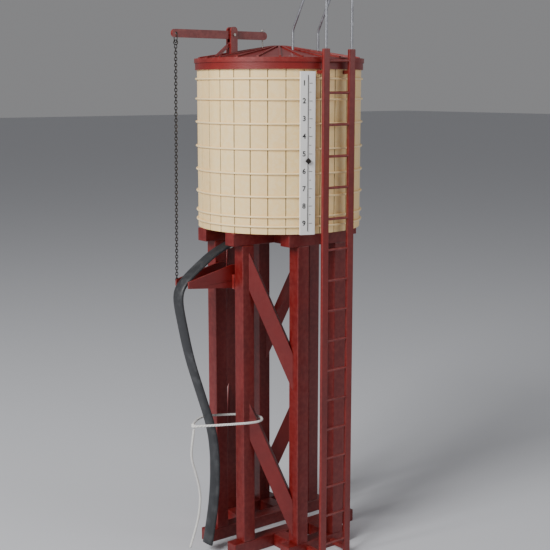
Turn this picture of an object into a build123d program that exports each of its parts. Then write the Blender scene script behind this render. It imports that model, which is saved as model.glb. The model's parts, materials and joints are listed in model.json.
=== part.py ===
from build123d import *
import os
from math import atan2, cos, degrees, hypot, radians, sin, tan

os.makedirs("parts", exist_ok=True)

# Frame: origin on the ground at the middle of the tower, +Z up, mm.
# The ladder stands on the -Y side; the lever, the cradle and the hose are on the -X side, in the plane Y = 0.

# timber tower
post = 12.7  # square section of the legs
inner_row = 21.3  # nearer of the two leg rows, from the middle
outer_row = 56.2  # farther leg row
beam_height = 12.0
leg_length = 278.0
long_beam = 145.6  # beams over the inner rows
short_beam = 75.6  # beams over the outer rows
brace_width = 14.0
brace_thickness = 8.0
brace_overlap = 2.0  # a brace stops this far short of the beam and of the middle of the leg

# tank
tank_radius = 75.0
stave_thickness = 5.0
stave_height = 148.0
stave_count = 30
stave_groove = 0.5
floor_thickness = 5.0
hoop_wire = 1.8
hoop_heights = (6.8, 15.2, 32.9, 52.8, 73.9, 95.6, 116.3, 134.0)  # above the tank's underside
band_thickness = 1.8
band_height = 10.0
lip_height = 4.0
lip_reach = 0.8
roof_edge = 4.0
roof_rise = 12.0
rib_count = 24
rib_width = 2.0
rib_height = 1.2
rib_start = 8.0

# gauge
gauge_angle = -110.0
gauge_width = 13.7
gauge_thickness = 2.5
gauge_margin = 8.0  # staves showing above the board
gauge_wire = 0.5
pointer_size = 3.8
pointer_thickness = 1.2
pointer_level = 64.0  # above the tank's underside
float_radius = 14.0
float_height = 10.0
float_level = 72.0  # above the tank's underside
float_offset = 45.0

# ladder and handrails
stile_width = 7.0
stile_thickness = 3.0
stile_spacing = 29.0
stile_rise = 7.0  # above the eave
ladder_clearance = 3.9  # stile to the rim's lip
rung_radius = 1.2
rung_start = 16.0
rung_margin = 9.8  # below the tops of the stiles
rung_count = 17
rail_radius = 1.1
rail_rise = 67.0  # above the stiles
rail_reach = 16.0  # level stretch at the top
rail_foot = 38.0
rail_knee = 17.0  # above the stiles
rail_bend = 9.0

# lever, fork and valve
lever_pivot = 53.0  # from the tower's axis, towards -X
lever_outer = 59.0  # pivot to the chain's hole
lever_inner = 34.0  # pivot to the valve rod
lever_height = 7.0
lever_thickness = 3.0
lever_end = 4.0  # bar beyond its last hole
lever_lift = 20.0  # above the eave
lever_pin_radius = 1.2
cheek_thickness = 2.0
cheek_reach = 7.0  # above the pivot
fork_length = 7.0
stay_size = 2.5
rod_radius = 0.6
collar_radius = 1.5
collar_height = 1.5
plug_radius = 7.0
plug_height = 5.0
chain_radius = 1.1

# cradle and outlet
cradle_pivot = 58.0
cradle_drop = 33.0  # below the tops of the legs
cradle_reach = 51.0
cradle_root = 22.0
cradle_tip = 6.0
arm_spacing = 20.0
arm_thickness = 2.0
cradle_pin_radius = 1.5
hinge_block_length = 10.0
hinge_block_height = 13.5
pipe_radius = 4.5
pipe_bore = 3.2

# hose and string
hose_width = 14.0
hose_thickness = 4.5
string_radius = 1.1
knot_radius = 2.8
knot_place = (-101.0, -4.0, 126.0)

# clearances
running = 0.05  # radial, shaft in its hole
gap = 0.3  # between pieces that move past each other

# levels worked out from the sizes above
leg_foot = beam_height
leg_top = leg_foot + leg_length
tank_foot = leg_top + beam_height
stave_top = tank_foot + stave_height
eave = stave_top + roof_edge
half = post / 2
gauge_length = stave_height - gauge_margin
pointer_height = tank_foot + pointer_level
stile_length = eave + stile_rise
ladder_offset = tank_radius + band_thickness + lip_reach + ladder_clearance + stile_thickness / 2
rung_pitch = (stile_length - rung_start - rung_margin) / (rung_count - 1)
rail_top = stile_length + rail_rise
lever_rise = eave + lever_lift
cheek_top = lever_rise + cheek_reach
cradle_height = leg_top - cradle_drop

# routes of the hose and of the string, chosen by hand
hose_route = [
    (-58.0, 288.5), (-72.0, 283.5), (-89.0, 272.5), (-105.0, 260.6), (-112.2, 252.2), (-113.6, 241.5),
    (-110.0, 223.0), (-102.5, 189.0), (-91.0, 155.0), (-78.5, 118.0), (-75.2, 90.0), (-75.8, 62.0),
    (-79.0, 34.0), (-84.5, 8.0),
]
tail_route = [
    (-102.0, -5.5, 123.6), (-105.5, -7.5, 112.0), (-107.5, -8.5, 98.0), (-102.5, -9.0, 82.0),
    (-98.2, -9.5, 63.0), (-99.5, -9.0, 44.0), (-103.5, -8.0, 28.0), (-109.0, -7.5, 13.0),
]
loop_route = [
    (-101.0, -1.6, 126.4), (-88.5, 9.6, 127.5), (-74.5, 10.0, 128.0), (-44.0, -12.0, 129.0),
    (-42.0, -28.0, 129.4), (-50.5, -40.0, 129.6), (-69.5, -33.0, 129.0), (-101.0, -5.6, 126.0),
]


def save(name, *solids):
    shape = Compound(children=list(solids)) if len(solids) > 1 else solids[0]
    export_step(shape, f"parts/{name}.step")


def block(x0, x1, y0, y1, z0, z1):
    size = (abs(x1 - x0), abs(y1 - y0), abs(z1 - z0))
    return Pos((x0 + x1) / 2, (y0 + y1) / 2, (z0 + z1) / 2) * Box(*size)


def rod(radius, start, end):
    start, end = Vector(*start), Vector(*end)
    line = Plane(origin=start, z_dir=end - start)
    return line * extrude(Circle(radius), amount=(end - start).length)


def roof_level(distance):
    return eave + roof_rise * (1 - distance / tank_radius)


def bend_radii(points):
    radii = []
    for before, here, after in zip(points, points[1:], points[2:]):
        arriving = Vector(*here) - Vector(*before)
        leaving = Vector(*after) - Vector(*here)
        turn = radians(arriving.get_angle(leaving))
        radii.append(0.45 * min(arriving.length, leaving.length) / tan(turn / 2))
    return radii


def flexible(name, points, section):
    radii = bend_radii(points)
    print(name, "bend radii", [round(radius, 1) for radius in radii])
    path = FilletPolyline(*points, radius=radii)
    start = Plane(origin=path @ 0, x_dir=(0, 1, 0), z_dir=path % 0)
    solid = sweep(start * section, path=path)
    ratio = solid.volume / (section.area * path.length)
    print(name, "length", round(path.length, 1), "volume ratio", round(ratio, 4))
    save(name, solid)


def level_beams(place, z0):
    z1 = z0 + beam_height
    lengths = {-outer_row: short_beam, -inner_row: long_beam, inner_row: long_beam, outer_row: short_beam}
    for number, (row, length) in enumerate(lengths.items(), 1):
        save(f"{place}_beam_{number}", block(-length / 2, length / 2, row - half, row + half, z0, z1))
    for side, x in (("left", -inner_row), ("right", inner_row)):
        bays = []
        for sign in (-1, 1):
            near, far = sign * (inner_row + half), sign * (outer_row - half)
            bays.append(block(x - half, x + half, near, far, z0, z1))
        save(f"{place}_tie_{side}", *bays)


def tower():
    level_beams("base", 0)
    level_beams("top", leg_top)
    for number, leg in enumerate(legs(), 1):
        save(f"leg_{number}", leg)
    middle = (leg_foot + leg_top) / 2
    for tier, low, high in (("lower", leg_foot, middle), ("upper", middle, leg_top)):
        for number in range(4):
            save(f"brace_{tier}_{number + 1}", brace(90 * number + 225, low, high))


def leg_places():
    places = []
    for x, y in ((-outer_row, inner_row), (-inner_row, outer_row)):
        places += [(x, y), (x, -y), (-x, y), (-x, -y)]
    return places


def brace(angle, low, high):
    # A board let in between two neighbouring legs, falling from left to right as seen from outside.
    face = (outer_row + inner_row + half) / 2 ** 0.5
    run = (outer_row - inner_row + half) * 2 ** 0.5
    rise = high - low - 2 * brace_overlap
    board = Rot(0, degrees(atan2(rise, run)), 0) * Box(2 * rise, brace_thickness, brace_width)
    board = board & Box(4 * outer_row, 4 * outer_row, high - low)
    board = Rot(0, 0, angle + 90) * Pos(0, brace_thickness / 2 - face, (low + high) / 2) * board
    for leg in legs():
        board = board - leg
    return board.solids().sort_by(lambda piece: abs(side_offset(piece.center(), angle)))[0]


def side_offset(point, angle):
    # distance along the side, from its middle
    return point.X * sin(radians(angle)) - point.Y * cos(radians(angle))


def legs():
    low, high = leg_foot, leg_top
    return [block(x - half, x + half, y - half, y + half, low, high) for x, y in leg_places()]


def tank():
    inner = tank_radius - stave_thickness
    ring = extrude(Circle(tank_radius) - Circle(inner), amount=stave_height)
    pitch = 360 / stave_count
    wedge = make_face(
        Polyline(
            (0, 0),
            (2 * tank_radius, 2 * tank_radius * tan(radians(pitch / 2)) - stave_groove / 4),
            (2 * tank_radius, -2 * tank_radius * tan(radians(pitch / 2)) + stave_groove / 4),
            close=True,
        )
    )
    stave = ring & extrude(wedge, amount=stave_height)
    upright = stave.edges().filter_by(Axis.Z)
    corners = upright.sort_by(lambda edge: -hypot(edge.center().X, edge.center().Y))[:2]
    stave = Pos(0, 0, tank_foot) * chamfer(corners, stave_groove)
    first = gauge_angle - 7.6
    save("staves", *[(Rot(0, 0, first + pitch * turn) * stave).solids()[0] for turn in range(stave_count)])
    save("tank_floor", tank_floor(inner))
    hoops = []
    for height in hoop_heights:
        hoops.append(Pos(0, 0, tank_foot + height) * Torus(tank_radius + hoop_wire / 2, hoop_wire / 2))
    save("hoops", *[hoop.solids()[0] for hoop in hoops])
    band = Circle(tank_radius + band_thickness) - Circle(tank_radius)
    lip = Circle(tank_radius + band_thickness + lip_reach) - Circle(tank_radius)
    lower = Pos(0, 0, eave - band_height) * extrude(band, amount=band_height)
    upper = Pos(0, 0, eave - lip_height) * extrude(lip, amount=lip_height)
    save("rim_band", lower + upper)


def tank_floor(radius):
    disc = Pos(0, 0, tank_foot) * extrude(Circle(radius), amount=floor_thickness)
    port = extrude(Circle(pipe_bore), amount=floor_thickness)
    return disc - Pos(lever_inner - lever_pivot, 0, tank_foot) * port


def roof_deck():
    outline = Polyline(
        (0, stave_top), (tank_radius, stave_top), (tank_radius, eave), (0, eave + roof_rise), close=True
    )
    cone = revolve(Plane.XZ * make_face(outline), axis=Axis.Z)
    hole = extrude(Circle(rod_radius + gap), amount=2 * roof_rise)
    return cone - Pos(lever_inner - lever_pivot, 0, stave_top) * hole


def roof_ribs():
    outline = Polyline(
        (rib_start, roof_level(rib_start)),
        (tank_radius - 1, roof_level(tank_radius - 1)),
        (tank_radius - 1, roof_level(tank_radius - 1) + rib_height),
        (rib_start, roof_level(rib_start) + rib_height),
        close=True,
    )
    rib = extrude(Plane.XZ * make_face(outline), amount=rib_width / 2, both=True)
    pitch = 360 / rib_count
    return [(Rot(0, 0, pitch * (turn + 0.5)) * rib).solids()[0] for turn in range(rib_count)]


def gauge():
    board_face = tank_radius + hoop_wire + gap / 3
    front = board_face + gauge_thickness
    place = Rot(0, 0, gauge_angle)
    low = tank_foot
    board = block(board_face, front, -gauge_width / 2, gauge_width / 2, low, low + gauge_length)
    save("gauge_board", place * board)
    axis = front + gauge_wire / 2
    wire = rod(gauge_wire / 2, (axis, 0, low + 3), (axis, 0, low + gauge_length - 3))
    save("gauge_line", place * wire)
    start = front + gauge_wire + gap
    diamond = Rot(45, 0, 0) * Box(pointer_thickness, pointer_size, pointer_size)
    save("gauge_pointer", place * Pos(start + pointer_thickness / 2, 0, pointer_height) * diamond)
    body = Pos(float_offset, 0, tank_foot + float_level) * Cylinder(float_radius, float_height)
    save("tank_float", place * fillet(body.edges(), 2))


def ladder():
    for side, sign in (("left", -1), ("right", 1)):
        x = sign * stile_spacing / 2
        back = stile_thickness / 2 - ladder_offset
        edges = (x - stile_width / 2, x + stile_width / 2)
        save(f"ladder_stile_{side}", block(*edges, back - stile_thickness, back, 0, stile_length))
    half_rung = (stile_spacing - stile_width) / 2
    rungs = []
    for step in range(rung_count):
        z = rung_start + step * rung_pitch
        rungs.append(rod(rung_radius, (-half_rung, -ladder_offset, z), (half_rung, -ladder_offset, z)))
    save("ladder_rungs", *rungs)
    back = stile_thickness / 2 - ladder_offset
    upper, lower = [], []
    for sign in (-1, 1):
        x = sign * stile_spacing / 2
        arm = block(x - 2, x + 2, back, -tank_radius + 6, stave_top - 10, stave_top - 7)
        upper.append((arm - Pos(0, 0, stave_top) * Cylinder(tank_radius, 60)).solids()[0])
        lower.append(block(x - 2, x + 2, back, -outer_row - half, 4, 8))
    save("ladder_brackets", *upper, *lower)


def handrails():
    for side, sign in (("left", -1), ("right", 1)):
        x = sign * stile_spacing / 2
        foot = roof_level(hypot(x, rail_foot)) + rib_height + gap
        points = [
            (x, -ladder_offset, stile_length),
            (x, -ladder_offset, rail_top),
            (x, -ladder_offset + rail_reach, rail_top),
            (x, -rail_foot, stile_length + rail_knee),
            (x, -rail_foot, foot),
        ]
        path = FilletPolyline(*points, radius=[rail_bend / 2, rail_bend / 2, rail_bend])
        rail = sweep(Plane(origin=path @ 0, z_dir=path % 0) * Circle(rail_radius), path=path)
        save(f"handrail_{side}", rail)


def lever(roof):
    pivot = -lever_pivot
    chain_x, rod_x = pivot - lever_outer, pivot + lever_inner
    low, high = lever_rise - lever_height / 2, lever_rise + lever_height / 2
    side = lever_thickness / 2
    bar = block(chain_x - lever_end, rod_x + lever_end, -side, side, low, high)
    bar = fillet(bar.edges().filter_by(Axis.Y), lever_height * 0.48)
    bar = bar - rod(lever_pin_radius + running, (pivot, -side, lever_rise), (pivot, side, lever_rise))
    bar = bar - rod(lever_pin_radius, (chain_x, -side, lever_rise), (chain_x, side, lever_rise))
    slot = (rod_radius + gap) * 2
    bar = bar - block(rod_x - 2.3, rod_x + 2.3, -slot / 2, slot / 2, low, high)
    save("lever_bar", bar)
    inner, outer = side + gap, side + gap + cheek_thickness
    pin = rod(lever_pin_radius, (pivot, -outer - 1, lever_rise), (pivot, outer + 1, lever_rise))
    seat = low - 3
    front, back = pivot - fork_length / 2, pivot + fork_length / 2
    fork = block(front, back, -outer, outer, stave_top, seat)
    for sign in (-1, 1):
        cheek = block(front, back, sign * inner, sign * outer, seat, cheek_top)
        crown = cheek.edges().filter_by(Axis.Y).group_by(Axis.Z)[-1]
        fork = fork + fillet(crown, fork_length * 0.48)
    fork = fork - roof - rod(lever_pin_radius, (pivot, -outer, lever_rise), (pivot, outer, lever_rise))
    foot = Vector(-tank_radius + 5, 0, roof_level(tank_radius - 5))
    top = Vector(front, 0, seat - 2)
    stay = Plane(origin=foot, x_dir=(0, 1, 0), z_dir=top - foot) * extrude(
        Rectangle(stay_size, stay_size), amount=(top - foot).length
    )
    stay = stay - roof - fork
    save("lever_fork", fork.solids()[0], stay.solids().sort_by(SortBy.VOLUME)[-1])
    stem = rod(rod_radius, (rod_x, 0, tank_foot + floor_thickness + plug_height), (rod_x, 0, high + 0.5))
    collar = rod(collar_radius, (rod_x, 0, high + 0.5), (rod_x, 0, high + 0.5 + collar_height))
    save("valve_rod", stem + collar)
    base = Pos(rod_x, 0, tank_foot + floor_thickness) * extrude(Circle(plug_radius), amount=plug_height)
    save("valve_plug", fillet(base.edges().sort_by(Axis.Z)[-1], 1.5))
    top_of_arm = cradle_height + cradle_tip / 2
    tip = (-cradle_pivot - cradle_reach + 1, arm_spacing / 2, top_of_arm + 3)
    save("chain", rod(chain_radius, (chain_x, 0, low - gap), tip))
    return pin


def cradle():
    tip = -cradle_pivot - cradle_reach
    root = -cradle_pivot - 5
    low = cradle_height - cradle_tip / 2
    outline = Polyline(
        (root + 8, low - 5), (tip, low), (tip, low + cradle_tip), (root + 1, low - 5 + cradle_root),
        (root + 8, low - 5 + cradle_root), close=True,
    )
    plate = extrude(Plane.XZ * make_face(outline), amount=arm_thickness / 2, both=True)
    hole = Pos(-cradle_pivot, 0, cradle_height) * Rot(90, 0, 0) * Cylinder(cradle_pin_radius + running, 8)
    plate = plate - hole
    for side, sign in (("front", -1), ("back", 1)):
        save(f"cradle_arm_{side}", Pos(0, sign * arm_spacing / 2, 0) * plate)
    inside = (arm_spacing - arm_thickness) / 2
    save("cradle_crossbar", block(root - 8, root - 2, -inside, inside, low - 3.4, low - 0.4))
    face = inner_row - half
    ends = ((-cradle_pivot, -face, cradle_height), (-cradle_pivot, face, cradle_height))
    inner = (arm_spacing + arm_thickness) / 2 + gap
    z0 = cradle_height - hinge_block_height * 0.6
    reach = hinge_block_length / 2
    for side, sign in (("front", -1), ("back", 1)):
        ends_x = (-cradle_pivot - reach, -cradle_pivot + reach)
        cheek = block(*ends_x, sign * inner, sign * face, z0, z0 + hinge_block_height)
        hole = Pos(-cradle_pivot, 0, cradle_height) * Rot(90, 0, 0) * Cylinder(cradle_pin_radius, 4 * face)
        save(f"hinge_block_{side}", cheek - hole)
    return rod(cradle_pin_radius, *ends)


def outlet():
    x = lever_inner - lever_pivot
    end = hose_route[0]
    points = [(x, 0, tank_foot), (x, 0, tank_foot - 8.5), (-44, 0, tank_foot - 8.5), (end[0], 0, end[1])]
    path = FilletPolyline(*points, radius=[5.5, 12])
    section = Circle(pipe_radius) - Circle(pipe_bore)
    save("outlet_pipe", sweep(Plane(origin=path @ 0, z_dir=path % 0) * section, path=path))


def cords():
    hose_points = [(x, 0, z) for x, z in hose_route]
    flexible("hose", hose_points, Ellipse(hose_width / 2, hose_thickness / 2))
    flexible("tie_tail", tail_route, Circle(string_radius))
    knot = Pos(*knot_place) * Sphere(knot_radius)
    path = FilletPolyline(*loop_route, radius=3.3)
    loop = sweep(Plane(origin=path @ 0, z_dir=path % 0) * Circle(string_radius), path=path) - knot
    save("tie_loop", loop.solids().sort_by(SortBy.VOLUME)[-1])
    save("tie_knot", knot)


tower()
tank()
roof = roof_deck()
save("roof_deck", roof)
save("roof_ribs", *roof_ribs())
gauge()
ladder()
handrails()
save("pivot_pins", lever(roof), cradle())
outlet()
cords()
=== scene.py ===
import json
import math
import bmesh
import bpy
from mathutils import Matrix, Vector


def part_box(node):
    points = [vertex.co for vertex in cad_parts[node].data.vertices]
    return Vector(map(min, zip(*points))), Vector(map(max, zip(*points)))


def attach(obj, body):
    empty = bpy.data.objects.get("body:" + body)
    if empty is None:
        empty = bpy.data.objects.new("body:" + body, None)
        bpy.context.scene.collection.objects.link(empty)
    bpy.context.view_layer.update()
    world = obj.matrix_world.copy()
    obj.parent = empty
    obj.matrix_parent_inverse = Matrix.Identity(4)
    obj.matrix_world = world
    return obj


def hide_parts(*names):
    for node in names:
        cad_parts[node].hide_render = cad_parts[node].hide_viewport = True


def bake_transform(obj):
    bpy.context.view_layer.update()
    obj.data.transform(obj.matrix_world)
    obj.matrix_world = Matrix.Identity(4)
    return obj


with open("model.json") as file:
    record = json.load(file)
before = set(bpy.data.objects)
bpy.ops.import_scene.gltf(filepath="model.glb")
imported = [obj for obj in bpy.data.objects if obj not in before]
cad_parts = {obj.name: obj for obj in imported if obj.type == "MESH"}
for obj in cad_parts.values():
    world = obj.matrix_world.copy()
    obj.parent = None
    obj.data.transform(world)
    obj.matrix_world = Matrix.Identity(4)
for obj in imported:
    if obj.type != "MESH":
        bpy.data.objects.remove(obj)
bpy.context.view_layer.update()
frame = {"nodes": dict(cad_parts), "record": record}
nodes = frame["nodes"]
joints = {joint["name"]: joint for joint in frame["record"]["behaviour"]["joints"]}
print("frame loaded:", len(nodes), "nodes")


# camera and light

camera = {"turn": 38.0, "pitch": 9.62, "distance": 1.033, "height": 0.4288, "left": 0.0037,
          "lens": 72.6, "sensor": 36}
# a lamp's place is how far right of the tower it stands, how far behind it, and how high
light = {"size": 0.9, "target": (0, 0, 0.3), "key": (-1.1, -1.2, 1.3), "keyPower": 46.0,
         "fill": (1.5, -0.6, 0.9), "fillPower": 6.0, "world": 0.30, "worldColour": (0.80, 0.80, 0.82, 1)}


def aim(item, place, target):
    item.location = place
    item.rotation_euler = (Vector(target) - Vector(place)).to_track_quat("-Z", "Y").to_euler()


def makeCamera():
    turn, pitch = math.radians(camera["turn"]), math.radians(camera["pitch"])
    depth = Vector((math.sin(turn), math.cos(turn), 0))
    right = Vector((math.cos(turn), -math.sin(turn), 0))
    place = -depth * camera["distance"] - right * camera["left"] + Vector((0, 0, camera["height"]))
    data = bpy.data.cameras.new("camera")
    data.lens = camera["lens"]
    data.sensor_width = camera["sensor"]
    item = bpy.data.objects.new("camera", data)
    bpy.context.collection.objects.link(item)
    aim(item, place, place + depth * math.cos(pitch) - Vector((0, 0, math.sin(pitch))))
    bpy.context.scene.camera = item
    return right, depth


def makeLamp(name, spot, power):
    data = bpy.data.lights.new(name, "AREA")
    data.size = light["size"]
    data.energy = power
    item = bpy.data.objects.new(name, data)
    bpy.context.collection.objects.link(item)
    aim(item, right * spot[0] + depth * spot[1] + Vector((0, 0, spot[2])), light["target"])


def makeWorld():
    world = bpy.data.worlds.new("world")
    world.use_nodes = True
    background = world.node_tree.nodes["Background"]
    background.inputs["Color"].default_value = light["worldColour"]
    background.inputs["Strength"].default_value = light["world"]
    bpy.context.scene.world = world


right, depth = makeCamera()
makeLamp("keyLamp", light["key"], light["keyPower"])
makeLamp("fillLamp", light["fill"], light["fillPower"])
makeWorld()


# shared shader groups

def newGroup(name, inputs, outputs):
    group = bpy.data.node_groups.new(name, "ShaderNodeTree")
    for label, kind, value in inputs:
        socket = group.interface.new_socket(label, in_out="INPUT", socket_type=kind)
        socket.default_value = value
    for label, kind in outputs:
        group.interface.new_socket(label, in_out="OUTPUT", socket_type=kind)
    return group, group.nodes.new("NodeGroupInput"), group.nodes.new("NodeGroupOutput")


def noise(tree, vector, scale, detail=4.0, rough=0.55):
    node = tree.nodes.new("ShaderNodeTexNoise")
    node.inputs["Scale"].default_value = scale
    node.inputs["Detail"].default_value = detail
    node.inputs["Roughness"].default_value = rough
    tree.links.new(vector, node.inputs["Vector"])
    return node.outputs["Fac"]


def math2(tree, kind, a, b=0.0):
    node = tree.nodes.new("ShaderNodeMath")
    node.operation = kind
    for socket, value in zip(node.inputs, (a, b)):
        if isinstance(value, (int, float)):
            socket.default_value = value
        else:
            tree.links.new(value, socket)
    return node.outputs[0]


def spread(tree, value, low, high, newLow=0.0, newHigh=1.0):
    node = tree.nodes.new("ShaderNodeMapRange")
    node.inputs["From Min"].default_value = low
    node.inputs["From Max"].default_value = high
    node.inputs["To Min"].default_value = newLow
    node.inputs["To Max"].default_value = newHigh
    tree.links.new(value, node.inputs["Value"])
    return node.outputs["Result"]


def mixColour(tree, fac, a, b):
    node = tree.nodes.new("ShaderNodeMix")
    node.data_type = "RGBA"
    tree.links.new(fac, node.inputs["Factor"])
    for socket, value in ((node.inputs["A"], a), (node.inputs["B"], b)):
        if isinstance(value, tuple):
            socket.default_value = value
        else:
            tree.links.new(value, socket)
    return node.outputs["Result"]


paintScale = {"cloud": 28.0, "grain": 620.0, "brush": 1900.0, "speck": 900.0, "wear": 260.0}
paintAmount = {"cloud": 0.5, "grain": 0.4, "wear": 0.45, "speck": 0.25}


def makePaintGroup():
    # brushed paint over timber: cloudy colour, stretched grain, brush ridges, specks, worn arrises
    group, inside, outside = newGroup(
        "brushedPaint",
        [
            ("Colour", "NodeSocketColor", (0.5, 0.1, 0.1, 1)),
            ("Shade", "NodeSocketColor", (0.3, 0.05, 0.05, 1)),
            ("Worn", "NodeSocketColor", (0.6, 0.3, 0.2, 1)),
            ("Stretch", "NodeSocketVector", (1.0, 1.0, 0.12)),
        ],
        [("Colour", "NodeSocketColor"), ("Height", "NodeSocketFloat"), ("Roughness", "NodeSocketFloat")],
    )
    place = group.nodes.new("ShaderNodeTexCoord").outputs["Object"]
    stretch = group.nodes.new("ShaderNodeVectorMath")
    stretch.operation = "MULTIPLY"
    group.links.new(place, stretch.inputs[0])
    group.links.new(inside.outputs["Stretch"], stretch.inputs[1])
    cloud = noise(group, place, paintScale["cloud"], 3.0)
    grain = noise(group, stretch.outputs[0], paintScale["grain"], 5.0, 0.6)
    brush = noise(group, stretch.outputs[0], paintScale["brush"], 2.0, 0.5)
    speck = spread(group, noise(group, place, paintScale["speck"], 2.0), 0.70, 0.76)
    geometry = group.nodes.new("ShaderNodeNewGeometry")
    arris = spread(group, geometry.outputs["Pointiness"], 0.53, 0.60)
    patchy = spread(group, noise(group, place, paintScale["wear"]), 0.42, 0.6)
    wear = math2(group, "MULTIPLY", math2(group, "MULTIPLY", arris, patchy), paintAmount["wear"])
    mask = math2(group, "MULTIPLY", spread(group, cloud, 0.35, 0.72), paintAmount["cloud"])
    shaded = mixColour(group, mask, inside.outputs["Colour"], inside.outputs["Shade"])
    streak = spread(group, grain, 0.62, 0.86, 0.0, paintAmount["grain"])
    grained = mixColour(group, streak, shaded, inside.outputs["Shade"])
    worn = mixColour(group, wear, grained, inside.outputs["Worn"])
    specked = math2(group, "MULTIPLY", speck, paintAmount["speck"])
    final = mixColour(group, specked, worn, inside.outputs["Shade"])
    group.links.new(final, outside.inputs["Colour"])
    height = math2(group, "ADD", math2(group, "MULTIPLY", grain, 0.7), math2(group, "MULTIPLY", brush, 0.3))
    group.links.new(height, outside.inputs["Height"])
    group.links.new(spread(group, cloud, 0.2, 0.8, 0.34, 0.55), outside.inputs["Roughness"])
    return group


def startMaterial(name):
    material = bpy.data.materials.new(name)
    material.use_nodes = True
    return material, material.node_tree, material.node_tree.nodes["Principled BSDF"]


def addBump(tree, shader, height, strength, distance):
    bump = tree.nodes.new("ShaderNodeBump")
    bump.inputs["Strength"].default_value = strength
    bump.inputs["Distance"].default_value = distance
    tree.links.new(height, bump.inputs["Height"])
    tree.links.new(bump.outputs["Normal"], shader.inputs["Normal"])


def makePaint(name, colour, shade, worn, coat=0.25, stretch=(1.0, 1.0, 0.12), bump=0.35):
    material, tree, shader = startMaterial(name)
    paint = tree.nodes.new("ShaderNodeGroup")
    paint.node_tree = paintGroup
    paint.inputs["Colour"].default_value = colour + (1,)
    paint.inputs["Shade"].default_value = shade + (1,)
    paint.inputs["Worn"].default_value = worn + (1,)
    paint.inputs["Stretch"].default_value = stretch
    tree.links.new(paint.outputs["Colour"], shader.inputs["Base Color"])
    tree.links.new(paint.outputs["Roughness"], shader.inputs["Roughness"])
    shader.inputs["Coat Weight"].default_value = coat
    shader.inputs["Coat Roughness"].default_value = 0.3
    addBump(tree, shader, paint.outputs["Height"], bump, 0.0004)
    return material


staves = {"count": 30, "first": math.radians(-117.6), "joint": 0.017, "fade": 0.030, "wobble": 0.03,
          "tone": 0.35, "dark": 0.85, "dirt": (0.10, 0.055, 0.02, 1)}


def makeStaves(name, colour, shade, worn):
    # painted boards: a dark joint between them, and a tone of its own for each board
    material = makePaint(name, colour, shade, worn, coat=0.1, bump=0.25)
    tree = material.node_tree
    shader = tree.nodes["Principled BSDF"]
    paint = shader.inputs["Base Color"].links[0].from_socket
    place = tree.nodes.new("ShaderNodeTexCoord").outputs["Object"]
    split = tree.nodes.new("ShaderNodeSeparateXYZ")
    tree.links.new(place, split.inputs[0])
    angle = math2(tree, "ARCTAN2", split.outputs["Y"], split.outputs["X"])
    pitch = 2 * math.pi / staves["count"]
    start = 4 * math.pi - staves["first"] + pitch / 2  # two turns on, so that no angle is negative
    turns = math2(tree, "DIVIDE", math2(tree, "ADD", angle, start), pitch)
    across = math2(tree, "ABSOLUTE", math2(tree, "SUBTRACT", math2(tree, "FRACT", turns), 0.5))
    uneven = math2(tree, "MULTIPLY", noise(tree, place, 60.0, 3.0), staves["wobble"])
    edge = 0.5 + staves["wobble"] / 2
    joint = spread(tree, math2(tree, "ADD", across, uneven), edge - staves["fade"], edge - staves["joint"])
    board = tree.nodes.new("ShaderNodeTexWhiteNoise")
    board.noise_dimensions = "1D"
    tree.links.new(math2(tree, "FLOOR", turns), board.inputs["W"])
    tone = math2(tree, "MULTIPLY", board.outputs["Value"], staves["tone"])
    toned = mixColour(tree, tone, paint, shade + (1,))
    jointed = mixColour(tree, math2(tree, "MULTIPLY", joint, staves["dark"]), toned, staves["dirt"])
    tree.links.new(jointed, shader.inputs["Base Color"])
    return material


def makeMetal(name, colour, dark, rough, metallic):
    # tarnish in patches, darker and rougher than the rest, over a fine skin
    material, tree, shader = startMaterial(name)
    place = tree.nodes.new("ShaderNodeTexCoord").outputs["Object"]
    tarnish = noise(tree, place, 240.0)
    skin = noise(tree, place, 2400.0, 2.0)
    mottled = mixColour(tree, spread(tree, tarnish, 0.35, 0.7), colour + (1,), dark + (1,))
    tree.links.new(mottled, shader.inputs["Base Color"])
    tree.links.new(spread(tree, tarnish, 0.3, 0.7, rough, rough + 0.2), shader.inputs["Roughness"])
    shader.inputs["Metallic"].default_value = metallic
    addBump(tree, shader, skin, 0.2, 0.0001)
    return material


rubber = {"colour": (0.022, 0.023, 0.026, 1), "scuffed": (0.062, 0.064, 0.068, 1), "rough": (0.48, 0.72)}


def makeRubber(name):
    # matt, with pale scuffs and a fine moulded skin
    material, tree, shader = startMaterial(name)
    place = tree.nodes.new("ShaderNodeTexCoord").outputs["Object"]
    scuff = spread(tree, noise(tree, place, 85.0, 6.0, 0.65), 0.5, 0.72)
    skin = noise(tree, place, 1500.0, 3.0)
    tree.links.new(mixColour(tree, scuff, rubber["colour"], rubber["scuffed"]), shader.inputs["Base Color"])
    tree.links.new(spread(tree, scuff, 0.0, 1.0, *rubber["rough"]), shader.inputs["Roughness"])
    addBump(tree, shader, skin, 0.35, 0.0002)
    return material


# the hollow colour is painted shade in the grooves between strands; the crest colour is the string's own
strands = {"along": 150.0, "round": 12.56, "hollowShade": (0.58, 0.56, 0.52, 1), "crest": (0.86, 0.85, 0.82, 1)}


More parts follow.
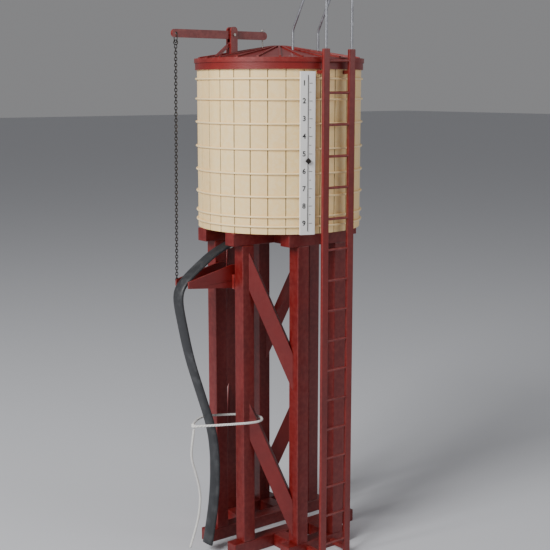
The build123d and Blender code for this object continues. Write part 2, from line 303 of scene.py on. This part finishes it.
def makeString(name):
    # strands wind round the cord: bands slope across its own UV, and the hollows between the strands are
    # painted shade
    material, tree, shader = startMaterial(name)
    split = tree.nodes.new("ShaderNodeSeparateXYZ")
    tree.links.new(tree.nodes.new("ShaderNodeTexCoord").outputs["UV"], split.inputs[0])
    along = math2(tree, "MULTIPLY", split.outputs[0], strands["along"])
    wound = math2(tree, "MULTIPLY", split.outputs[1], strands["round"])
    band = math2(tree, "SINE", math2(tree, "ADD", along, wound))
    fuzz = noise(tree, tree.nodes.new("ShaderNodeTexCoord").outputs["Object"], 3000.0, 4.0)
    # painted shade: a sine across the twist darkens the hollows between strands, the crests keep the
    # string's colour
    shadedStrands = mixColour(tree, spread(tree, band, -1.0, 0.4), strands["hollowShade"], strands["crest"])
    tree.links.new(shadedStrands, shader.inputs["Base Color"])
    shader.inputs["Roughness"].default_value = 0.85
    shader.inputs["Sheen Weight"].default_value = 0.3
    addBump(tree, shader, math2(tree, "ADD", band, fuzz), 0.7, 0.0003)
    return material


paintGroup = makePaintGroup()
redShade, redWorn = (0.070, 0.0015, 0.0012), (0.26, 0.045, 0.035)
finishes = {
    "red_timber": makePaint("redTimber", (0.150, 0.0030, 0.0025), redShade, redWorn),
    "red_ladder": makePaint("redLadder", (0.185, 0.0050, 0.0035), redShade, redWorn, coat=0.35),
    "red_roof": makePaint("redRoof", (0.20, 0.0110, 0.0090), redShade, redWorn, stretch=(0.4, 0.4, 1.0)),
    "red_fittings": makePaint("redFittings", (0.190, 0.0045, 0.0035), redShade, redWorn, coat=0.4, bump=0.2),
    "cream_staves": makeStaves("creamStaves", (0.97, 0.71, 0.34), (0.90, 0.60, 0.25), (0.97, 0.78, 0.46)),
    "cream_hoops": makePaint("creamHoops", (0.98, 0.76, 0.42), (0.90, 0.65, 0.32), (0.97, 0.84, 0.56),
                             bump=0.1),
    "white_board": makePaint("whiteBoard", (0.80, 0.79, 0.77), (0.66, 0.65, 0.62), (0.85, 0.84, 0.82),
                             bump=0.12),
    "black_metal": makeMetal("blackMetal", (0.016, 0.015, 0.015), (0.05, 0.04, 0.035), 0.35, 0.6),
    "grey_wire": makeMetal("greyWire", (0.42, 0.43, 0.46), (0.24, 0.24, 0.26), 0.32, 0.9),
    "bare_metal": makeMetal("bareMetal", (0.5, 0.48, 0.45), (0.25, 0.22, 0.2), 0.3, 1.0),
    "black_rubber": makeRubber("blackRubber"),
    "white_string": makeString("whiteString"),
    "float_wood": makePaint("floatWood", (0.50, 0.33, 0.17), (0.32, 0.19, 0.09), (0.6, 0.42, 0.25),
                            coat=0.0),
}
inkMaterial = makeMetal("ink", (0.02, 0.02, 0.02), (0.05, 0.05, 0.05), 0.6, 0.0)
print("materials made:", len(finishes))


# the frame's own pieces: finish, and arrises softened by a small bevel

softEdge = {"width": 0.0007, "thinShare": 0.3, "segments": 2, "weld": 0.00001, "angle": 40.0}
timber = ("leg_", "base_", "top_", "brace_", "ladder_stile", "hinge_")
thinTimber = ("cradle_", "gauge_board")
slots = {part["node"]: part["material_slot"] for part in frame["record"]["subparts"]}
for node, item in nodes.items():
    item.data.materials.clear()
    item.data.materials.append(finishes[slots[node]])
    if node.startswith(timber + thinTimber):
        weld = item.modifiers.new("weld", "WELD")
        weld.merge_threshold = softEdge["weld"]
        bevel = item.modifiers.new("bevel", "BEVEL")
        bevel.width = softEdge["width"] * (softEdge["thinShare"] if node.startswith(thinTimber) else 1)
        bevel.segments = softEdge["segments"]
        bevel.angle_limit = math.radians(softEdge["angle"])
print("frame pieces finished")


def meshObject(name, bm, slot, body, material=None, smooth=True):
    mesh = bpy.data.meshes.new(name)
    bmesh.ops.recalc_face_normals(bm, faces=bm.faces)
    bm.to_mesh(mesh)
    bm.free()
    for face in mesh.polygons:
        face.use_smooth = smooth
    item = bpy.data.objects.new(name, mesh)
    bpy.context.collection.objects.link(item)
    mesh.materials.append(material or finishes[slot])
    if body:
        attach(item, body)
    return item


def plainMesh(item):
    # what a curve, a text or a modifier comes to, as a plain mesh; the item itself goes
    bpy.context.view_layer.update()
    depsgraph = bpy.context.evaluated_depsgraph_get()
    mesh = bpy.data.meshes.new_from_object(item.evaluated_get(depsgraph), depsgraph=depsgraph)
    bpy.data.objects.remove(item)
    return mesh


def tube(bm, points, radius, closed=False, sides=12):
    # a round wire along the points, with its rings kept square to the path
    count = len(points)
    rings = []
    side = Vector((0, 1, 0.01)).normalized()  # any direction that the path doesn't start in
    for i, point in enumerate(points):
        before = points[i - 1] if closed or i else points[i]
        after = points[(i + 1) % count] if closed or i < count - 1 else points[i]
        along = (after - before).normalized()
        side = (side - along * side.dot(along)).normalized()
        other = along.cross(side)
        ring = []
        for j in range(sides):
            a = 2 * math.pi * j / sides
            ring.append(bm.verts.new(point + radius * (side * math.cos(a) + other * math.sin(a))))
        rings.append(ring)
    for i in range(count if closed else count - 1):
        one, two = rings[i], rings[(i + 1) % count]
        for j in range(sides):
            bm.faces.new((one[j], one[(j + 1) % sides], two[(j + 1) % sides], two[j]))
    if not closed:
        bm.faces.new(rings[0][::-1])
        bm.faces.new(rings[-1])


# gauge: figures on the left of the line, ticks on the right

gauge = {"count": 9, "first": 0.130, "step": 0.015, "lift": 0.00005, "deep": 0.00025, "wire": 0.0005,
         "figure": 0.0062, "figureSide": 0.0034, "bold": 0.00012,
         "tick": 0.0028, "shortTick": 0.6, "tickHigh": 0.0004, "tickSide": 0.0012}


def gaugeFrame():
    # where the board's face meets the line, the way across it, its turn, and the first mark's height
    low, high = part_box("gauge_line")
    line = Vector(((low[0] + high[0]) / 2, (low[1] + high[1]) / 2, 0))
    out = line.normalized()
    across = Vector((-out.y, out.x, 0))
    face = out * (line.length - gauge["wire"] / 2 + gauge["lift"])
    turn = Matrix((across, Vector((0, 0, 1)), out)).transposed().to_4x4()
    return face, across, turn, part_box("gauge_board")[0][2] + gauge["first"]


def makeFigures():
    face, across, turn, top = gaugeFrame()
    for number in range(1, gauge["count"] + 1):
        data = bpy.data.curves.new(f"figure{number}", "FONT")
        data.body = str(number)
        data.size = gauge["figure"]
        data.extrude = gauge["deep"] / 2
        data.offset = gauge["bold"]
        data.align_x = "CENTER"
        data.align_y = "CENTER"
        text = bpy.data.objects.new(f"figureText{number}", data)
        bpy.context.collection.objects.link(text)
        mesh = plainMesh(text)
        level = top - (number - 1) * gauge["step"]
        spot = face - across * gauge["figureSide"] + Vector((0, 0, level))
        mesh.transform(Matrix.Translation(spot) @ turn)
        item = bpy.data.objects.new(f"gaugeFigure{number}", mesh)
        bpy.context.collection.objects.link(item)
        mesh.materials.clear()
        mesh.materials.append(inkMaterial)
        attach(item, "tower")


def makeTicks():
    # a long tick beside each figure, and a short one halfway to the next
    face, across, turn, top = gaugeFrame()
    bm = bmesh.new()
    for mark in range(2 * gauge["count"] - 1):
        level = top - mark * gauge["step"] / 2
        wide = gauge["tick"] * (1.0 if mark % 2 == 0 else gauge["shortTick"])
        box = bmesh.ops.create_cube(bm, size=1)["verts"]
        size = Matrix.Diagonal((wide, gauge["tickHigh"], gauge["deep"], 1))
        spot = face + across * (gauge["tickSide"] + wide / 2) + Vector((0, 0, level))
        bmesh.ops.transform(bm, matrix=Matrix.Translation(spot) @ turn @ size, verts=box)
    meshObject("gaugeTicks", bm, "black_metal", "tower", inkMaterial, smooth=False)


makeFigures()
makeTicks()
print("gauge figures and ticks made")


# chain: links on a line from the lever's hole to the cradle, made by a node tree

chain = {"pitch": 0.0026, "linkLength": 0.0036, "linkWide": 0.62, "wire": 0.00036, "linkSteps": 12,
         "wireSteps": 6, "sides": 8, "ring": 0.0020, "ringWire": 1.2, "hookWide": 0.0024,
         "hookPast": 0.0009, "hookLift": 0.0004, "hookWire": 1.1,
         "ringAt": 0.036, "linksFrom": 0.052,  # shares of the way down from the lever's hole
         "armRise": 0.0105, "inset": 0.0011}  # its foot, from the cradle arm's base and the chain's sides


def chainTree():
    tree = bpy.data.node_groups.new("chainLinks", "GeometryNodeTree")
    face = tree.interface
    face.new_socket("Geometry", in_out="INPUT", socket_type="NodeSocketGeometry")
    for name in ("Pitch", "Link Length", "Link Width", "Wire"):
        face.new_socket(name, in_out="INPUT", socket_type="NodeSocketFloat")
    face.new_socket("Material", in_out="INPUT", socket_type="NodeSocketMaterial")
    face.new_socket("Geometry", in_out="OUTPUT", socket_type="NodeSocketGeometry")
    start, end = tree.nodes.new("NodeGroupInput"), tree.nodes.new("NodeGroupOutput")
    points = tree.nodes.new("GeometryNodeCurveToPoints")
    points.mode = "LENGTH"
    oval = tree.nodes.new("GeometryNodeCurvePrimitiveCircle")
    oval.inputs["Resolution"].default_value = chain["linkSteps"]
    half = tree.nodes.new("ShaderNodeMath")
    half.operation = "MULTIPLY"
    half.inputs[1].default_value = 0.5
    stand = tree.nodes.new("GeometryNodeTransform")
    stand.inputs["Rotation"].default_value = (math.pi / 2, 0, 0)
    scale = tree.nodes.new("ShaderNodeCombineXYZ")
    scale.inputs["Y"].default_value = 1
    scale.inputs["Z"].default_value = 1
    section = tree.nodes.new("GeometryNodeCurvePrimitiveCircle")
    section.inputs["Resolution"].default_value = chain["wireSteps"]
    skin = tree.nodes.new("GeometryNodeCurveToMesh")
    place = tree.nodes.new("GeometryNodeInstanceOnPoints")
    number = tree.nodes.new("GeometryNodeInputIndex")
    quarter = tree.nodes.new("ShaderNodeMath")
    quarter.operation = "MULTIPLY"
    quarter.inputs[1].default_value = math.pi / 2
    spin = tree.nodes.new("ShaderNodeCombineXYZ")
    turn = tree.nodes.new("GeometryNodeRotateInstances")
    real = tree.nodes.new("GeometryNodeRealizeInstances")
    paint = tree.nodes.new("GeometryNodeSetMaterial")
    for a, b in (
        (start.outputs["Geometry"], points.inputs["Curve"]),
        (start.outputs["Pitch"], points.inputs["Length"]),
        (start.outputs["Link Length"], half.inputs[0]),
        (half.outputs[0], oval.inputs["Radius"]),
        (start.outputs["Link Width"], scale.inputs["X"]),
        (scale.outputs[0], stand.inputs["Scale"]),
        (oval.outputs["Curve"], stand.inputs["Geometry"]),
        (stand.outputs["Geometry"], skin.inputs["Curve"]),
        (start.outputs["Wire"], section.inputs["Radius"]),
        (section.outputs["Curve"], skin.inputs["Profile Curve"]),
        (points.outputs["Points"], place.inputs["Points"]),
        (points.outputs["Rotation"], place.inputs["Rotation"]),
        (skin.outputs["Mesh"], place.inputs["Instance"]),
        (number.outputs[0], quarter.inputs[0]),
        (quarter.outputs[0], spin.inputs["Z"]),
        (place.outputs["Instances"], turn.inputs["Instances"]),
        (spin.outputs[0], turn.inputs["Rotation"]),
        (turn.outputs["Instances"], real.inputs["Geometry"]),
        (real.outputs["Geometry"], paint.inputs["Geometry"]),
        (start.outputs["Material"], paint.inputs["Material"]),
        (paint.outputs["Geometry"], end.inputs["Geometry"]),
    ):
        tree.links.new(a, b)
    return tree


def chainEnds():
    hole = Vector(joints["chain_swing"]["pos_m"])
    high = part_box("chain")[1]
    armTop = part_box("cradle_arm_back")[0][2] + chain["armRise"]
    return hole, Vector((high[0] - chain["inset"], high[1] - chain["inset"], armTop))


def makeLinks():
    hole, foot = chainEnds()
    curve = bpy.data.curves.new("chainLine", "CURVE")
    curve.dimensions = "3D"
    spline = curve.splines.new("POLY")
    spline.points.add(1)
    for point, place in zip(spline.points, (hole + (foot - hole) * chain["linksFrom"], foot)):
        point.co = (*place, 1)
    line = bpy.data.objects.new("chainLine", curve)
    bpy.context.collection.objects.link(line)
    modifier = line.modifiers.new("links", "NODES")
    modifier.node_group = chainTree()
    values = {"Pitch": chain["pitch"], "Link Length": chain["linkLength"], "Link Width": chain["linkWide"],
              "Wire": chain["wire"], "Material": finishes["black_metal"]}
    for socket in modifier.node_group.interface.items_tree:
        if socket.in_out == "INPUT" and socket.name in values:
            modifier[socket.identifier] = values[socket.name]
    links = bpy.data.objects.new("chainLinks", plainMesh(line))
    bpy.context.collection.objects.link(links)
    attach(links, "chain")
    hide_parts("chain")


def wireLoop(bm, centre, half, otherHalf, radius, steps=20):
    turns = [2 * math.pi * i / steps for i in range(steps)]
    loop = [centre + half * math.cos(a) + otherHalf * math.sin(a) for a in turns]
    tube(bm, loop, radius, closed=True, sides=chain["sides"])


def makeHook():
    # a ring that takes the first link, and the loop that hangs it from the lever's hole
    hole, foot = chainEnds()
    ringPlace = hole + (foot - hole) * chain["ringAt"]
    middle = (hole + ringPlace) / 2 + Vector((0, 0, chain["hookLift"]))
    reach = (hole - ringPlace).length / 2 + chain["hookPast"]
    bm = bmesh.new()
    wireLoop(bm, ringPlace, Vector((chain["ring"], 0, 0)), Vector((0, 0, chain["ring"])),
             chain["wire"] * chain["ringWire"])
    wireLoop(bm, middle, Vector((0, chain["hookWide"], 0)), Vector((0, 0, reach)),
             chain["wire"] * chain["hookWire"])
    meshObject("chainHook", bm, "black_metal", "chain")


makeLinks()
makeHook()
print("chain made")


# cords: the hose and the string, on smooth routes

hose = {"wide": 0.0140, "thick": 0.0045, "sides": 28, "fullness": 0.8, "wall": 0.0009, "openRings": 5,
        "bendStart": (-0.09, 0, 0.14), "bendEnd": (-0.09, 0, 0.235)}
string = {"radius": 0.0011, "sides": 14, "uvPerMetre": 40}
hoseRoute = [
    (-0.0580, 0, 0.2885), (-0.0720, 0, 0.2835), (-0.0890, 0, 0.2725), (-0.1050, 0, 0.2606),
    (-0.1122, 0, 0.2522), (-0.1136, 0, 0.2415), (-0.1100, 0, 0.2230), (-0.1025, 0, 0.1890),
    (-0.0910, 0, 0.1550), (-0.0785, 0, 0.1180), (-0.0752, 0, 0.0900), (-0.0758, 0, 0.0620),
    (-0.0790, 0, 0.0340), (-0.0845, 0, 0.0080),
]
tailRoute = [
    (-0.1020, -0.0055, 0.1236), (-0.1055, -0.0075, 0.1120), (-0.1075, -0.0085, 0.0980),
    (-0.1025, -0.0090, 0.0820), (-0.0982, -0.0095, 0.0630), (-0.0995, -0.0090, 0.0440),
    (-0.1035, -0.0080, 0.0280), (-0.1090, -0.0075, 0.0130),
]
loopRoute = [
    (-0.1010, -0.0016, 0.1264), (-0.0885, 0.0096, 0.1275), (-0.0745, 0.0100, 0.1280),
    (-0.0440, -0.0120, 0.1290), (-0.0420, -0.0280, 0.1294), (-0.0505, -0.0400, 0.1296),
    (-0.0695, -0.0330, 0.1290), (-0.1010, -0.0056, 0.1260),
]


def makeRoute(name, route):
    curve = bpy.data.curves.new(name, "CURVE")
    curve.dimensions = "3D"
    curve.resolution_u = 16
    spline = curve.splines.new("NURBS")
    spline.points.add(len(route) - 1)
    for point, place in zip(spline.points, route):
        point.co = (*place, 1)
    spline.order_u = 3
    spline.use_endpoint_u = True
    item = bpy.data.objects.new(name, curve)
    bpy.context.collection.objects.link(item)
    return item


def routePoints(item):
    return [vertex.co.copy() for vertex in plainMesh(item).vertices]


def pathLength(points):
    return sum((b - a).length for a, b in zip(points, points[1:]))


def flatRing(bm, points, i, shrink):
    # fuller than an ellipse, so that the edges are rounded and the faces nearly flat
    across = Vector((0, 1, 0))
    along = (points[min(i + 1, len(points) - 1)] - points[max(i - 1, 0)]).normalized()
    up = along.cross(across).normalized()
    ring = []
    for j in range(hose["sides"]):
        a = 2 * math.pi * j / hose["sides"]
        c, s = math.cos(a), math.sin(a)
        wide = math.copysign(abs(c) ** hose["fullness"], c) * (hose["wide"] / 2 - shrink)
        thick = math.copysign(abs(s) ** hose["fullness"], s) * (hose["thick"] / 2 - shrink)
        ring.append(bm.verts.new(points[i] + across * wide + up * thick))
    return ring


def makeHose():
    # the outside from end to end, then a short way back up the inside of its open lower end
    points = routePoints(makeRoute("hoseLine", hoseRoute))
    last = len(points) - 1
    bm = bmesh.new()
    rings = [flatRing(bm, points, i, 0.0) for i in range(last + 1)]
    rings += [flatRing(bm, points, last - i, hose["wall"]) for i in range(hose["openRings"])]
    for one, two in zip(rings, rings[1:]):
        for j in range(hose["sides"]):
            k = (j + 1) % hose["sides"]
            bm.faces.new((one[j], one[k], two[k], two[j]))
    bm.faces.new(rings[0])
    bm.faces.new(rings[-1])
    item = meshObject("hoseTube", bm, "black_rubber", None)
    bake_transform(item)
    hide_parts("hose")


def makeStringPiece(name, route, node):
    points = routePoints(makeRoute(name + "Line", route))
    length = pathLength(points)
    sides = string["sides"]
    bm = bmesh.new()
    tube(bm, points, string["radius"], sides=sides)
    layer = bm.loops.layers.uv.new("UVMap")
    bm.verts.index_update()
    for face in bm.faces:
        if len(face.verts) != 4:
            continue
        steps = [vertex.index % sides for vertex in face.verts]
        seam = max(steps) - min(steps) > 1
        for loop in face.loops:
            ring, step = divmod(loop.vert.index, sides)
            wrap = 1.0 if seam and step == 0 else step / sides
            loop[layer].uv = (ring / len(points) * length * string["uvPerMetre"], wrap)
    item = meshObject(name, bm, "white_string", "tower")
    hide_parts(node)


knot = {"size": 0.00047412, "turns": (0.0, 1.1), "lean": 0.7, "steps": 48, "sides": 8, "thin": 0.85}


def makeKnot():
    # two small trefoils of the same string, one turned across the other
    low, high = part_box("tie_knot")
    centre = (Vector(low) + Vector(high)) / 2
    bm = bmesh.new()
    for tilt in knot["turns"]:
        turn = Matrix.Rotation(tilt, 3, "X") @ Matrix.Rotation(tilt * knot["lean"], 3, "Z")
        points = []
        for i in range(knot["steps"]):
            t = 2 * math.pi * i / knot["steps"]
            x, y = math.sin(t) + 2 * math.sin(2 * t), math.cos(t) - 2 * math.cos(2 * t)
            points.append(centre + turn @ Vector((x, y, -math.sin(3 * t))) * knot["size"])
        tube(bm, points, string["radius"] * knot["thin"], closed=True, sides=knot["sides"])
    item = meshObject("stringKnot", bm, "white_string", "tower")
    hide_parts("tie_knot")


makeHose()
makeStringPiece("stringTail", tailRoute, "tie_tail")
makeStringPiece("stringLoop", loopRoute, "tie_loop")
makeKnot()
print("cords made")


# floor

ground = {"colour": (0.62, 0.63, 0.66, 1), "roughness": 0.8, "size": 14}


def makeFloor():
    material, _, shader = startMaterial("floor")
    shader.inputs["Roughness"].default_value = ground["roughness"]
    shader.inputs["Base Color"].default_value = ground["colour"]
    bm = bmesh.new()
    bmesh.ops.create_grid(bm, x_segments=1, y_segments=1, size=ground["size"])
    mesh = bpy.data.meshes.new("floor")
    bm.to_mesh(mesh)
    bm.free()
    mesh.materials.append(material)
    floor = bpy.data.objects.new("floor", mesh)
    bpy.context.collection.objects.link(floor)


makeFloor()

print("scene ready")
